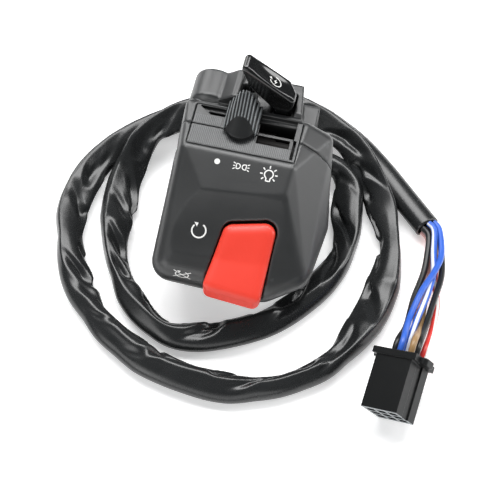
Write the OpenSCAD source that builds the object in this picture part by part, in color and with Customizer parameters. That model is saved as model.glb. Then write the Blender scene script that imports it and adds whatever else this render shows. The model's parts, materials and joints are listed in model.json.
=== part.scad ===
// Right-hand handlebar switch cluster with its sleeved harness and plug.
// X runs along the handlebar towards the grip, Y forward, Z up.
// The origin is on the bar axis, where the two housing halves meet.

/* [Handlebar] */
// Outside diameter of the handlebar tube
bar_d = 22.2; // [21:0.1:23]

/* [Housing] */
// Height of the deck above the bar axis
deck_h = 26; // [25.5:0.5:29]
// Depth of the flat underside below the bar axis
base_drop = 19.5; // [19:0.5:23]
// Reach of the housing to the left of the origin
left_w = 24; // [23.5:0.5:28]
// Reach of the right flank at its widest
right_w = 31.5; // [30:0.5:33]
// Reach of the nose towards the rider
nose_reach = 47; // [46:0.5:52]
// Reach of the front half away from the rider
front_reach = 15.5; // [15:0.5:18]
// Slope of the face that holds the rocker
face_tilt = 30.5; // [27:0.5:33]
// Distance of that face from the bar axis
face_d = 28.6; // [27.5:0.2:31]
// Right edge of the deck at the lip
deck_right = 18.6; // [18.2:0.2:21]
// Reach of the deck away from the rider
deck_front = 10; // [9.8:0.1:12]
// Rounding of the left shoulder
shoulder_r = 3.5; // [2.5:0.25:4.5]
// Rounding of the deck's right edge
edge_r = 2.7; // [2:0.1:3.5]
// Rounding of the nose
nose_r = 8; // [6:0.5:9]
// Wall left between the bar and the switch pockets
bar_wall = 2.7; // [2:0.1:3.5]

/* [Front blocks] */
// Radius of the screw boss on the front half
boss_r = 7.5; // [6.5:0.1:7.8]
// Reach of the boss and of the start block away from the rider
block_reach = 22.5; // [21:0.5:26]
// Top of the start block above the deck
block_rise = 1.6; // [1:0.1:2.2]
// Width of the cable outlet box along the bar
outlet_w = 6.7; // [6.5:0.1:8]
// Height of the outlet box above the bar axis
outlet_top = 17.4; // [17.2:0.1:20]

/* [Slot cover] */
// Thickness of the cover plate
cover_t = 1.6; // [1.2:0.1:2]
// Depth of the cover below the deck
cover_recess = 0.4; // [0.2:0.1:0.8]
// Width of the cover along the bar
cover_w = 36.4; // [36.2:0.1:36.6]
// Depth of the cover from front to rear
cover_d = 16; // [15.5:0.1:16.2]
// Width of the ledge that carries the cover
ledge_w = 1.4; // [1:0.1:1.6]

/* [Light slider] */
// Travel of the slider from its middle position to each side
slide_travel = 8.5; // [7:0.5:9]
// Middle position of the slider along the bar
slider_x = -3.4; // [-4:0.1:-3]
// Width of the knob
knob_w = 12; // [10:0.5:13]
// Height of the knob's far end above the deck
knob_h = 10.5; // [8.5:0.5:12]
// Number of ribs on the knob
knob_ribs = 11; // [7:2:13]
// Height of a rib
rib_h = 0.45; // [0.3:0.05:0.6]
// Height of the carriage under the cover
carriage_h = 4.1; // [3.8:0.1:4.5]
// Radius of the detent ball
ball_r = 1.5; // [1.2:0.1:1.7]

/* [Kill rocker] */
// Length of the rocker down the face
rocker_len = 25.5; // [24:0.5:27]
// Width of the rocker at its upper end
rocker_top_w = 17.4; // [16:0.2:18.4]
// Width of the rocker at its lower end
rocker_low_w = 19.4; // [18:0.2:20.4]
// Full swing of the rocker between run and off
rocker_swing = 13; // [10:0.5:14]
// Radius of the rocker pin
rocker_pin_r = 1.4; // [1.2:0.05:1.6]

/* [Start paddle] */
// Width of the paddle across its thumb face
paddle_w = 7.6; // [7:0.1:7.8]
// Height of the paddle's upper end above the deck
paddle_h = 20; // [18:0.5:22]
// Full press of the paddle
paddle_swing = 8; // [6:0.5:8]
// Radius of the paddle pin
paddle_pin_r = 1.25; // [1:0.05:1.4]
// Radius of the plunger under the paddle
plunger_r = 1.8; // [1.6:0.05:2]

/* [Fasteners] */
// Radius of the screws that join the halves
screw_r = 1.5; // [1.3:0.05:1.6]
// Radius of their heads
screw_head_r = 2.8; // [2.4:0.1:3.2]

/* [Harness] */
// Diameter of the sleeve
sleeve_d = 8; // [7:0.2:8]
// Diameter of one wire
wire_d = 2.2; // [1.8:0.1:2.3]

/* [Plug] */
// Width of the plug body
plug_w = 13; // [12.6:0.1:15]
// Height of the plug body
plug_h = 14.2; // [12.8:0.1:15]
// Length of the plug body
plug_len = 20.5; // [18:0.5:23]
// Pitch of the cavities
cavity_pitch = 4; // [3.8:0.1:4]
// Width of one cavity
cavity_w = 3.2; // [3:0.1:3.3]

/* [Hidden] */

$fn = 48;
// Running clearance between sliding faces, fit clearance between seated faces, pin clearance
run_gap = 0.3;
seat_gap = 0.15;
pin_gap = 0.05;
// Overshoot of a cut past the face that it opens
past = 1;
// Size of a block that is larger than the whole housing
all = 200;

bar_r = bar_d / 2;
base_z = -base_drop;
pocket_floor = bar_r + bar_wall;

// Outer form of the two halves

// Height of a ball that touches the rocker face from inside
function face_ball_z(y, r) = (face_d - r + sin(face_tilt) * y) / cos(face_tilt);

lip_reach = 12.5;
far_r = 2;
crease_r = 2.5;
crease_left = [-10.2, -22.5];
crease_right = [15.4, -18.2];
crease_rise = [1.6, 0.9];
nose_left_r = 7;
nose_right_x = 13.5;
deck_flare = 1.7;
flank_z = 1;
flank_r = 3.5;
foot_r = 3.5;
low_inset = 4;
low_z = 12;

pod_balls = [
    [-left_w + far_r, deck_front - far_r, deck_h - far_r, far_r],
    [-left_w + shoulder_r + 1.5, -lip_reach + shoulder_r, deck_h - shoulder_r, shoulder_r],
    [deck_right - edge_r + deck_flare, deck_front - edge_r, deck_h - edge_r, edge_r],
    [deck_right - edge_r, -lip_reach + edge_r, deck_h - edge_r, edge_r],
    [crease_left[0], crease_left[1], face_ball_z(crease_left[1], crease_r - crease_rise[0]), crease_r],
    [crease_right[0], crease_right[1], face_ball_z(crease_right[1], crease_r - crease_rise[1]), crease_r],
    [-left_w + low_inset + 0.5, crease_left[1], low_z, low_inset],
    [-left_w + nose_left_r, -nose_reach + nose_left_r, face_ball_z(nose_left_r - nose_reach, nose_left_r), nose_left_r],
    [nose_right_x, -nose_reach + nose_r - 0.5, face_ball_z(nose_r - nose_reach, nose_r), nose_r],
    [right_w - nose_r - 2, -nose_reach + nose_r + 5.5, flank_z, nose_r],
    [right_w - nose_r, -16, flank_z + 1, nose_r],
    [right_w - flank_r - 4, deck_front - flank_r + 1, deck_h - 8, flank_r],
    [-left_w + foot_r, front_reach - foot_r, base_z + foot_r, foot_r],
    [-left_w + foot_r + 0.5, -14, base_z + foot_r, foot_r],
    [right_w - foot_r - 4.5, front_reach - foot_r - 1.5, base_z + foot_r, foot_r],
    [right_w - foot_r - 6.5, -12, base_z + foot_r, foot_r]
];

module pod() {
    hull()
        for (b = pod_balls)
            translate([b[0], b[1], b[2]]) sphere(r = b[3], $fn = 36);
}

module front_space() {
    translate([-all / 2, 0, -all / 2]) cube(all);
}

module bar_hole() {
    rotate([0, 90, 0]) cylinder(r = bar_r, h = all, center = true, $fn = 96);
}

// Cylinder along Y from y0 to y1
module rod_y(x, z, r, y0, y1) {
    translate([x, y0, z]) rotate([-90, 0, 0]) cylinder(r = r, h = y1 - y0);
}

// Box between two corners
module block(low, high) {
    translate(low) cube(high - low);
}

// Light switch heights, from the deck down to the bar
cover_top = deck_h - cover_recess;
cover_low = cover_top - cover_t;
cover_left = -19.8;
cover_right = cover_left + cover_w;
cover_rear = -cover_d / 2;
cover_front = cover_d / 2;
carriage_top = cover_low - run_gap;
carriage_low = carriage_top - carriage_h;
light_base_top = carriage_low - run_gap;
carriage_half = 3.5;
pocket_left = slider_x - slide_travel - carriage_half - run_gap;
pocket_right = cover_right - ledge_w;
pocket_rear = cover_rear + ledge_w;
pocket_front = cover_front - ledge_w;

module light_pocket() {
    block([pocket_left, pocket_rear, pocket_floor], [pocket_right, pocket_front, deck_h]);
    block([cover_left - seat_gap, cover_rear - seat_gap, cover_low],
        [cover_right + seat_gap, cover_front + seat_gap, deck_h + past]);
}

// Screws that join the halves: one above the bar through the boss, one below the bar
boss_rise = 1.7;
boss_near = 9.9;
boss_bevel = 1.2;
boss_x = boss_r - left_w;
boss_z = deck_h + boss_rise - boss_r;
screw_inset = 5.8;
screw_drop = 6.3;
upper_screw = [screw_inset - left_w, deck_h - screw_drop];
lower_screw = [4, base_z / 2 - bar_r / 2];
screw_tip_y = -13;
head_h = 2.6;
upper_head_y = block_reach - 4;
lower_head_y = front_reach - 5.5;

module screw_holes() {
    for (s = [[upper_screw, upper_head_y], [lower_screw, lower_head_y]]) {
        rod_y(s[0][0], s[0][1], screw_r + pin_gap, screw_tip_y - 0.5, s[1] + past);
        rod_y(s[0][0], s[0][1], screw_head_r + seat_gap, s[1], all / 4);
    }
}

module housing_screws() {
    color("silver")
        for (s = [[upper_screw, upper_head_y], [lower_screw, lower_head_y]])
            difference() {
                union() {
                    rod_y(s[0][0], s[0][1], screw_r, screw_tip_y, s[1] + head_h / 2);
                    rod_y(s[0][0], s[0][1], screw_head_r, s[1], s[1] + head_h);
                }
                for (turn = [0, 90])
                    translate([s[0][0], s[1] + head_h, s[0][1]]) rotate([0, turn, 0])
                        cube([2 * screw_head_r - 2, 2.4, 0.9], center = true);
            }
}

// Rocker face: children are placed with X along the bar, Y up the slope and Z out of the face
module on_face() {
    rotate([face_tilt, 0, 0]) translate([0, 0, face_d]) children();
}

rocker_mid_y = -28.6;
rocker_left = -3.2;
rocker_right = 15.6;
rocker_top_y = rocker_mid_y + rocker_len / 2;
rocker_low_y = rocker_mid_y - rocker_len / 2;
rocker_side_gap = 0.4;
rocker_end_gap = 1.2;
pocket_under = 2.4;
rocker_corner_r = [3.6, 3.6, 2.6, 2.6];
rocker_soft = 0.55;
rocker_draft = 1.6;
rocker_slant = 2.4;
pivot_depth = 5.4;
cap_low = -2.2;
cap_end_h = 2.2;
cap_mid_h = 1.5;
hub_r = 2.7;
ear_r = 2.3;
ear_t = 2.2;
hub_half = 5;
pivot_x = (rocker_left + rocker_right) / 2;
kill_floor = -12.6;
kill_base_t = 2.2;
kill_base_top = kill_floor + kill_base_t;
kill_half_x = hub_half + run_gap + ear_t;
kill_half_y = 6.6;

// Outline corners of the rocker: upper left, upper right, lower right, lower left
function rocker_corners(gap, end_gap) = [
    [rocker_right - rocker_top_w - gap, rocker_top_y - rocker_slant + end_gap],
    [rocker_right + gap, rocker_top_y + end_gap],
    [rocker_right - 0.6 + gap, rocker_low_y - 1.4 - end_gap],
    [rocker_right - 0.6 - rocker_low_w - gap, rocker_low_y - 0.4 - end_gap]
];

kill_screw_x = 5.4;
kill_screw_r = 0.9;
kill_screw_head = 1.5;
kill_screw_len = 4;

// Places of the two screws, at opposite corners of the contact base
module kill_screw_places() {
    for (side = [-1, 1])
        translate([pivot_x + side * kill_screw_x, rocker_mid_y + side * (kill_half_y - 2), 0]) children();
}

module rocker_pocket() {
    upper = [for (k = [0, 1]) let (c = cap_corner(k)) [c[0], c[1] + rocker_end_gap, c[2] + rocker_side_gap]];
    lower = [for (k = [2, 3]) let (c = cap_corner(k)) [c[0], c[1], c[2] + rocker_side_gap]];
    on_face() {
        translate([0, 0, cap_low - pocket_under]) {
            linear_extrude(height = 4 * nose_r)
                polygon([[upper[0][0] - upper[0][2], upper[0][1]], [upper[0][0], upper[0][1] + upper[0][2]],
                    [upper[1][0], upper[1][1] + upper[1][2]], [upper[1][0] + upper[1][2], upper[1][1]],
                    [lower[0][0] + lower[0][2], lower[0][1]], [lower[0][0] + lower[0][2], lower[0][1] - 2 * nose_r],
                    [lower[1][0] - lower[1][2], lower[1][1] - 2 * nose_r], [lower[1][0] - lower[1][2], lower[1][1]]]);
            for (u = upper)
                translate([u[0], u[1], 0]) cylinder(r = u[2], h = 4 * nose_r);
        }
        block([pivot_x - kill_half_x - seat_gap, rocker_mid_y - kill_half_y - seat_gap, kill_floor],
            [pivot_x + kill_half_x + seat_gap, rocker_mid_y + kill_half_y + seat_gap, cap_low]);
        kill_screw_places()
            translate([0, 0, kill_floor - kill_screw_len - 0.5])
                cylinder(r = kill_screw_r + pin_gap, h = kill_screw_len + past);
    }
}

// Duct for the leads from the rocker pocket to the light pocket
lead_duct_r = 2.2;
lead_duct_len = 29;

module lead_duct() {
    duct_from = [pivot_x, rocker_mid_y + kill_half_y - past, kill_base_top + 3];
    on_face()
        translate(duct_from) rotate([-92, 0, 0]) cylinder(r = lead_duct_r, h = lead_duct_len);
}

// Shadow groove along the left flank
slit_w = 2.2;
slit_depth = 1.6;
slit_len = 30;
slit_top = deck_h - 7.4;
slit_y = -4;

module flank_slit() {
    translate([-left_w - past, slit_y, slit_top]) rotate([-17, 0, 0])
        translate([0, -slit_len, -slit_w]) cube([slit_depth + past, slit_len, slit_w]);
}

// Hollow sweep of the face below the edge of the symbol panel
cove_r = 60;
cove_y = -19.9;
cove_skew = 8;
cove_bite = 0.25;

module face_cove() {
    on_face()
        translate([pivot_x, cove_y, cove_r - cove_bite]) rotate([0, 90, cove_skew])
            cylinder(r = cove_r, h = all, center = true, $fn = 180);
}

module rear_housing() {
    color("dimgray")
        difference() {
            pod();
            front_space();
            face_cove();
            bar_hole();
            light_pocket();
            screw_holes();
            rocker_pocket();
            lead_duct();
            flank_slit();
        }
}

// Start block, paddle pivot and plunger
block_left = -8.4;
block_right_near = 16;
block_right_far = 14;
block_near = cover_front + seat_gap;
block_top = deck_h + block_rise;
strip_top = deck_h + 0.2;
block_low = -3;
web_low = 4;
web_set = 0.4;
guard_near = 10.3;
guard_right = -6.6;
guard_top = deck_h + 4.5;
guard_foot = [boss_x + 3, boss_z + 6.3];
paddle_x = 8.5;
paddle_z = deck_h - 3.5;
paddle_near = 10.3;
paddle_far = paddle_near + paddle_w;
paddle_mid = (paddle_near + paddle_far) / 2;
paddle_hub_r = 2.8;
paddle_gap = 0.4;
paddle_r = 1.5;
strip_far = paddle_near - paddle_gap;
plunger_x = -2.2;
foot_z = deck_h + 7.6;
plunger_gap = 0.1;
plunger_top = foot_z - paddle_r - plunger_gap;
guide_top = deck_h - 2;
start_half_x = 4.2;
start_near = pocket_front - past;
start_far = paddle_far + paddle_gap;
start_base_t = 1.8;
start_base_top = pocket_floor + start_base_t;
press_travel = 1.6;
contact_t = 0.8;
contact_gap = 0.2;
post_h = 1;
disc_low = start_base_top + post_h + contact_gap + press_travel;
guide_low = disc_low + contact_t + run_gap;
pin_wall = 2.2;

module start_pockets() {
    block([paddle_x - 4, paddle_near - paddle_gap, paddle_z - paddle_hub_r - paddle_gap],
        [block_right_far - 1.2, start_far, block_top + past]);
    block([plunger_x - start_half_x, paddle_near - paddle_gap, guide_top],
        [paddle_x, start_far, block_top + past]);
    block([plunger_x - start_half_x, start_near, pocket_floor],
        [plunger_x + start_half_x, start_far, guide_low]);
    translate([plunger_x, paddle_mid, guide_low - past])
        cylinder(r = plunger_r + pin_gap, h = guide_top - guide_low + 2 * past);
    rod_y(paddle_x, paddle_z, paddle_pin_r, paddle_near - paddle_gap - pin_wall, start_far + pin_wall);
}

// Outlet box of the harness and its duct from the light pocket
outlet_left = 13.5;
outlet_right = outlet_left + outlet_w;
outlet_near = 11.5;
outlet_far = 22.3;
outlet_low = base_z + 1;
outlet_wall = 1.5;
outlet_y = 20;
outlet_z = base_z + 8;
outlet_boss_r = 6;
outlet_face = 22.5;
duct_left = 9;
duct_h = 2.1;
grommet_neck_r = 4.2;
grommet_flange_r = 5.3;
grommet_flange_t = 2;
grommet_bore_r = 2.8;
grommet_neck = outlet_face - outlet_right + outlet_wall - 0.1;

module outlet_ducts() {
    duct_top = pocket_floor + 0.2 + duct_h;
    block([duct_left, pocket_front - past, pocket_floor + 0.2],
        [outlet_right - outlet_wall, outlet_near + 5, duct_top]);
    block([outlet_left + outlet_wall, outlet_near + outlet_wall, outlet_low + outlet_wall],
        [outlet_right - outlet_wall, outlet_far - outlet_wall, duct_top]);
    translate([outlet_left + outlet_wall + past, outlet_y, outlet_z]) rotate([0, 90, 0])
        cylinder(r = grommet_bore_r, h = outlet_w);
    translate([outlet_right - outlet_wall, outlet_y, outlet_z]) rotate([0, 90, 0])
        cylinder(r = grommet_neck_r + pin_gap, h = all);
}

// Part of the start block beyond y0, its right side drawn in towards the far end
module start_block(y0, top) {
    taper = (block_right_near - block_right_far) / (block_reach - block_near);
    translate([0, 0, block_low])
        linear_extrude(height = top - block_low)
            polygon([[block_left, y0], [block_right_near - taper * (y0 - block_near), y0],
                [block_right_far, block_reach], [block_left, block_reach]]);
}

module screw_boss() {
    translate([boss_x, boss_near, boss_z]) rotate([-90, 0, 0])
        cylinder(r1 = boss_r - boss_bevel, r2 = boss_r, h = boss_bevel);
    rod_y(boss_x, boss_z, boss_r, boss_near + boss_bevel, block_reach);
}

// Wall to the left of the paddle, with a slope that runs down to the boss
module paddle_guard() {
    guard_far = block_reach - web_set;
    translate([0, guard_far, 0]) rotate([90, 0, 0])
        linear_extrude(height = guard_far - guard_near)
            polygon([[boss_x, web_low], [guard_right, web_low], [guard_right, guard_top],
                [block_left, guard_top], guard_foot, [boss_x, guard_foot[1]]]);
}

module front_housing() {
    color("dimgray")
        difference() {
            union() {
                intersection() {
                    pod();
                    front_space();
                }
                screw_boss();
                paddle_guard();
                start_block(block_near, strip_top);
                start_block(strip_far, block_top);
                block([outlet_left, outlet_near, outlet_low], [outlet_right, outlet_far, outlet_top]);
                translate([outlet_left + past, outlet_y, outlet_z]) rotate([0, 90, 0])
                    cylinder(r = outlet_boss_r, h = outlet_face - outlet_left - past);
            }
            bar_hole();
            light_pocket();
            screw_holes();
            start_pockets();
            outlet_ducts();
        }
}

// Plate in the deck with the slots beside the knob
stem_rear = 5.2;
stem_front = 7.4;
stem_half = 2;
slot_rear = stem_rear - 0.5;
slot_front = stem_front + 0.4;
slot_left = slider_x - slide_travel - stem_half - 0.6;
wedge_len = 4.4;
opening_left = 2.6;
opening_right = 14.8;
bar_rear = 0.6;
bar_front = 1.6;
strip_front = -3.1;
line_w = 0.4;
line_depth = 0.7;

module slot_cover() {
    color("dimgray")
        difference() {
            block([cover_left, cover_rear, cover_low], [cover_right, cover_front, cover_top]);
            translate([0, 0, cover_low - past])
                linear_extrude(height = cover_t + 2 * past)
                    polygon([[slot_left - wedge_len, slot_front], [slot_left, slot_rear],
                        [opening_right, slot_rear], [opening_right, slot_front]]);
            block([opening_left, bar_front, cover_low - past], [opening_right, cover_front + past, cover_top + past]);
            block([opening_left, strip_front, cover_low - past], [opening_right - 1.2, bar_rear, cover_top + past]);
            block([opening_left, strip_front, cover_low + cover_t / 2],
                [opening_right, bar_front + past, cover_top + past]);
            block([opening_right, cover_rear + 0.8, cover_low - past],
                [opening_right + 1, bar_rear, cover_top + past]);
            block([cover_left - past, -line_w / 2, cover_top - line_depth], [opening_left, line_w / 2, cover_top + past]);
        }
}

// Knob of the light slider: a ribbed ramp that rises away from the rider
knob_low = deck_h + 0.6;
knob_front = 9.4;
knob_slab = 1.4;
knob_round = 2.6;
knob_foot_h = 1.4;
knob_nose_y = 1.3;
rib_arch_r = 5.15;
rib_arch_y = -3.45;

module knob_form(inset) {
    half = knob_w / 2 - inset;
    hull() {
        translate([slider_x, knob_nose_y, knob_low]) cylinder(r = half, h = knob_slab, $fn = 32);
        block([slider_x - half, knob_front - 1.4, knob_low], [slider_x + half, knob_front - inset, knob_low + knob_foot_h]);
        rod_y(slider_x, deck_h + knob_h - knob_round, knob_round - inset, knob_front - 1.2, knob_front - inset, $fn = 32);
    }
}

module light_knob() {
    pitch = knob_w / knob_ribs;
    color("dimgray") {
        knob_form(rib_h);
        intersection() {
            knob_form(0);
            difference() {
                for (k = [0 : knob_ribs - 1])
                    translate([slider_x - knob_w / 2 + (k + 0.5) * pitch - pitch / 4, rib_arch_y, knob_low])
                        cube([pitch / 2, knob_front - rib_arch_y, 2 * knob_h]);
                translate([slider_x, rib_arch_y, knob_low - past]) cylinder(r = rib_arch_r, h = 2 * knob_h + 2 * past);
            }
        }
        block([slider_x - stem_half, stem_rear, carriage_top],
            [slider_x + stem_half, pocket_front - run_gap, knob_low + past]);
        block([slider_x - stem_half, stem_rear, cover_low + run_gap],
            [slider_x + stem_half, stem_front, knob_low + past]);
    }
}

detent_y = 2.6;
contact_y = -3.2;
bridge_w = 2.4;
bridge_t = 0.5;
bridge_len = slide_travel - 2;
ball_z = carriage_low + 0.5;
detent_top = carriage_top - 0.6;

module light_carriage() {
    color("ivory")
        difference() {
            block([slider_x - carriage_half, pocket_rear + run_gap, carriage_low],
                [slider_x + carriage_half, pocket_front - run_gap, carriage_top]);
            translate([slider_x, detent_y, carriage_low - past])
                cylinder(r = ball_r + pin_gap, h = detent_top - carriage_low + past);
            block([slider_x - bridge_len / 2, contact_y - bridge_w / 2, carriage_low - past],
                [slider_x + bridge_len / 2, contact_y + bridge_w / 2, carriage_low + bridge_t]);
        }
}

module light_contact() {
    color("goldenrod")
        block([slider_x - bridge_len / 2, contact_y - bridge_w / 2, carriage_low - run_gap + 0.1],
            [slider_x + bridge_len / 2, contact_y + bridge_w / 2, carriage_low + bridge_t]);
}

module light_detent_ball() {
    color("silver") translate([slider_x, detent_y, ball_z]) sphere(r = ball_r);
}

// Tube swept along a list of points
function unit(v) = v / norm(v);
function heading(path, i) = unit(path[min(i + 1, len(path) - 1)] - path[max(i - 1, 0)]);
function ring(centre, along, r, sides) =
    let (side = unit(cross(along, [0, 0, 1])), rise = cross(side, along))
    [for (k = [0 : sides - 1]) centre + r * (cos(360 * k / sides) * side + sin(360 * k / sides) * rise)];

module tube(path, d, sides) {
    n = len(path);
    points = [for (i = [0 : n - 1]) each ring(path[i], heading(path, i), d / 2, sides)];
    near_cap = [[for (k = [0 : sides - 1]) k]];
    far_cap = [[for (k = [sides - 1 : -1 : 0]) (n - 1) * sides + k]];
    walls = [for (i = [0 : n - 2], k = [0 : sides - 1])
        [i * sides + k, (i + 1) * sides + k, (i + 1) * sides + (k + 1) % sides, i * sides + (k + 1) % sides]];
    polyhedron(points = points, faces = concat(near_cap, far_cap, walls), convexity = 10);
}

spring_steps = 10;

module coil_spring(centre, z0, z1, mean_r, wire, turns) {
    rise = z1 - z0 - wire;
    path = [for (k = [0 : turns * spring_steps])
        let (a = 360 * k / spring_steps)
        [centre[0] + mean_r * cos(a), centre[1] + mean_r * sin(a), z0 + wire / 2 + rise * k / (turns * spring_steps)]];
    tube(path, wire * 0.96, 6);
}

module light_detent_spring() {
    spring_wire = 0.4;
    color("silver")
        coil_spring([slider_x, detent_y], ball_z + ball_r, detent_top, ball_r - spring_wire, spring_wire, 2);
}

terminal_r = 1.2;
terminal_h = 2;
base_notch = 3;
light_stations = [-slide_travel, 0, slide_travel];

module light_base() {
    color("saddlebrown")
        difference() {
            block([pocket_left + seat_gap, pocket_rear + seat_gap, pocket_floor],
                [pocket_right - seat_gap, pocket_front - seat_gap, light_base_top]);
            translate([0, detent_y, ball_z]) rotate([0, 90, 0])
                cylinder(r = ball_r + run_gap / 2, h = all, center = true);
            for (s = light_stations)
                translate([slider_x + s, contact_y, light_base_top - terminal_h])
                    cylinder(r = terminal_r + pin_gap, h = terminal_h + past);
            block([duct_left - 1, pocket_front - base_notch, pocket_floor - past], [all, all, light_base_top + past]);
        }
}

module light_terminals() {
    color("goldenrod")
        for (s = light_stations)
            translate([slider_x + s, contact_y, light_base_top - terminal_h]) cylinder(r = terminal_r, h = terminal_h);
}

// Rocker with its hub, seen square to the face and then turned to the run position
rest_turn = rocker_swing / 2;

module rocker_frame() {
    on_face() translate([0, rocker_mid_y, -pivot_depth]) rotate([-rest_turn, 0, 0])
        translate([0, -rocker_mid_y, pivot_depth]) children();
}

// One end of the cap: corners as [x, y, radius, top height, run-out of the wall below]
module rocker_end(corners) {
    hull()
        for (c = corners) {
            translate([c[0], c[1], c[3] - rocker_soft * c[2]]) scale([1, 1, rocker_soft]) sphere(r = c[2], $fn = 28);
            translate([c[0], c[1] - c[4], cap_low]) cylinder(r = c[2], h = 0.4, $fn = 28);
        }
}

// Corner k of the cap, drawn in by its own radius
function cap_corner(k) =
    let (c = rocker_corners(0, 0)[k], r = rocker_corner_r[k], sx = k == 0 || k == 3 ? 1 : -1, sy = k < 2 ? -1 : 1)
    [c[0] + sx * r, c[1] + sy * r, r, cap_end_h, k < 2 ? 0 : rocker_draft];
function cap_middle(a, b) =
    [(a[0] + b[0]) / 2, (a[1] + b[1]) / 2, (a[2] + b[2]) / 2, cap_mid_h, 0];

module kill_rocker() {
    upper_left = cap_corner(0);
    upper_right = cap_corner(1);
    lower_right = cap_corner(2);
    lower_left = cap_corner(3);
    mid_left = cap_middle(upper_left, lower_left);
    mid_right = cap_middle(upper_right, lower_right);
    color("red")
        rocker_frame()
            difference() {
                union() {
                    rocker_end([upper_left, upper_right, mid_right, mid_left]);
                    rocker_end([mid_left, mid_right, lower_right, lower_left]);
                    translate([pivot_x - hub_half, rocker_mid_y, -pivot_depth]) rotate([0, 90, 0])
                        cylinder(r = hub_r, h = 2 * hub_half);
                    block([pivot_x - hub_half, rocker_mid_y - hub_r, -pivot_depth],
                        [pivot_x + hub_half, rocker_mid_y + hub_r, cap_low + past]);
                }
                translate([pivot_x, rocker_mid_y, -pivot_depth]) rotate([0, 90, 0])
                    cylinder(r = rocker_pin_r + pin_gap, h = all, center = true);
            }
}

kill_plate_t = 0.6;
kill_plate_half = 4.6;

module kill_contact() {
    plate_top = -pivot_depth - hub_r;
    color("goldenrod")
        rocker_frame()
            block([pivot_x - 2.5, rocker_mid_y - kill_plate_half, plate_top - kill_plate_t],
                [pivot_x + 2.5, rocker_mid_y + kill_plate_half, plate_top]);
}

module rocker_pin() {
    color("silver")
        on_face()
            translate([pivot_x, rocker_mid_y, -pivot_depth]) rotate([0, 90, 0])
                cylinder(r = rocker_pin_r, h = 2 * kill_half_x, center = true);
}

kill_posts = [-3.4, 3.4];
kill_post_h = 1.1;

module kill_base() {
    color("saddlebrown")
        on_face()
            difference() {
                union() {
                    block([pivot_x - kill_half_x, rocker_mid_y - kill_half_y, kill_floor],
                        [pivot_x + kill_half_x, rocker_mid_y + kill_half_y, kill_base_top]);
                    for (side = [-1, 1])
                        translate([pivot_x + side * (kill_half_x - ear_t / 2), rocker_mid_y, 0]) {
                            translate([-ear_t / 2, -ear_r, kill_floor + kill_base_t / 2])
                                cube([ear_t, 2 * ear_r, -pivot_depth - kill_floor - kill_base_t / 2]);
                            translate([0, 0, -pivot_depth]) rotate([0, 90, 0])
                                cylinder(r = ear_r, h = ear_t, center = true);
                        }
                }
                translate([pivot_x, rocker_mid_y, -pivot_depth]) rotate([0, 90, 0])
                    cylinder(r = rocker_pin_r + pin_gap / 2, h = all, center = true);
                for (y = kill_posts)
                    translate([pivot_x, rocker_mid_y + y, kill_floor - past])
                        cylinder(r = terminal_r + pin_gap, h = kill_base_t + 2 * past);
                kill_screw_places()
                    translate([0, 0, kill_floor - past])
                        cylinder(r = kill_screw_r + pin_gap, h = kill_base_t + 2 * past);
            }
}

module kill_terminals() {
    color("goldenrod")
        on_face()
            for (y = kill_posts)
                translate([pivot_x, rocker_mid_y + y, kill_floor])
                    cylinder(r = terminal_r, h = kill_base_t + kill_post_h);
}

module kill_base_screws() {
    color("silver")
        on_face()
            kill_screw_places() {
                translate([0, 0, kill_floor - kill_screw_len])
                    cylinder(r = kill_screw_r, h = kill_screw_len + kill_base_t + 0.2);
                translate([0, 0, kill_base_top]) cylinder(r = kill_screw_head, h = 0.9);
            }
}

// Start paddle: profile corners in the XZ plane, rounded by balls
paddle_rise = 2;
paddle_toe = 6.4;
paddle_cut = 2.4;
paddle_neck = 2.3;
foot_half = 2.4;
foot_up = 4;
// Profile corners, with the set-back of the far side at each
paddle_corners = [
    [-4.3, deck_h + paddle_h - paddle_r, 0.45],
    [-1.65, foot_z + 3.4, 0],
    [paddle_x - 2.2, deck_h + paddle_rise, 0],
    [paddle_x + 2.1, deck_h + paddle_rise - 0.2, paddle_cut],
    [paddle_x + 2.6, deck_h + paddle_toe, paddle_cut],
    [paddle_x + 0.35, deck_h + paddle_toe + 1.9, 0]
];

module start_paddle() {
    color("black")
        difference() {
            union() {
                hull()
                    for (c = paddle_corners, y = [paddle_near + paddle_r, paddle_far - paddle_r - c[2]])
                        translate([c[0], y, c[1]]) sphere(r = paddle_r, $fn = 24);
                rod_y(paddle_x, paddle_z, paddle_hub_r, paddle_near, paddle_far);
                block([paddle_x - paddle_neck, paddle_near, paddle_z], [paddle_x + paddle_neck, paddle_far, deck_h + paddle_rise]);
                rod_y(plunger_x, foot_z, paddle_r, paddle_mid - foot_half, paddle_mid + foot_half);
                block([plunger_x - paddle_r, paddle_mid - foot_half, foot_z],
                    [plunger_x + paddle_r, paddle_mid + foot_half, foot_z + foot_up]);
            }
            rod_y(paddle_x, paddle_z, paddle_pin_r + pin_gap, paddle_near - past, paddle_far + past);
        }
}

module paddle_pin() {
    color("silver")
        rod_y(paddle_x, paddle_z, paddle_pin_r - pin_gap / 2,
            paddle_near - paddle_gap - pin_wall, start_far + pin_wall);
}

module start_plunger() {
    color("gainsboro")
        translate([plunger_x, paddle_mid, disc_low + contact_t])
            cylinder(r = plunger_r, h = plunger_top - disc_low - contact_t);
}

module start_contact() {
    color("goldenrod") translate([plunger_x, paddle_mid, disc_low]) cylinder(r = 3, h = contact_t);
}

module start_spring() {
    color("silver") coil_spring([plunger_x, paddle_mid], start_base_top, disc_low, 0.9, 0.4, 4);
}

start_posts = [-2.3, 2.3];
post_r = 0.9;

module start_base() {
    color("saddlebrown")
        difference() {
            block([plunger_x - start_half_x + seat_gap, pocket_front + seat_gap, pocket_floor],
                [plunger_x + start_half_x - seat_gap, start_far - seat_gap, start_base_top]);
            for (y = start_posts)
                translate([plunger_x, paddle_mid + y, pocket_floor - past])
                    cylinder(r = post_r + pin_gap, h = start_base_t + 2 * past);
        }
}

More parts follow.
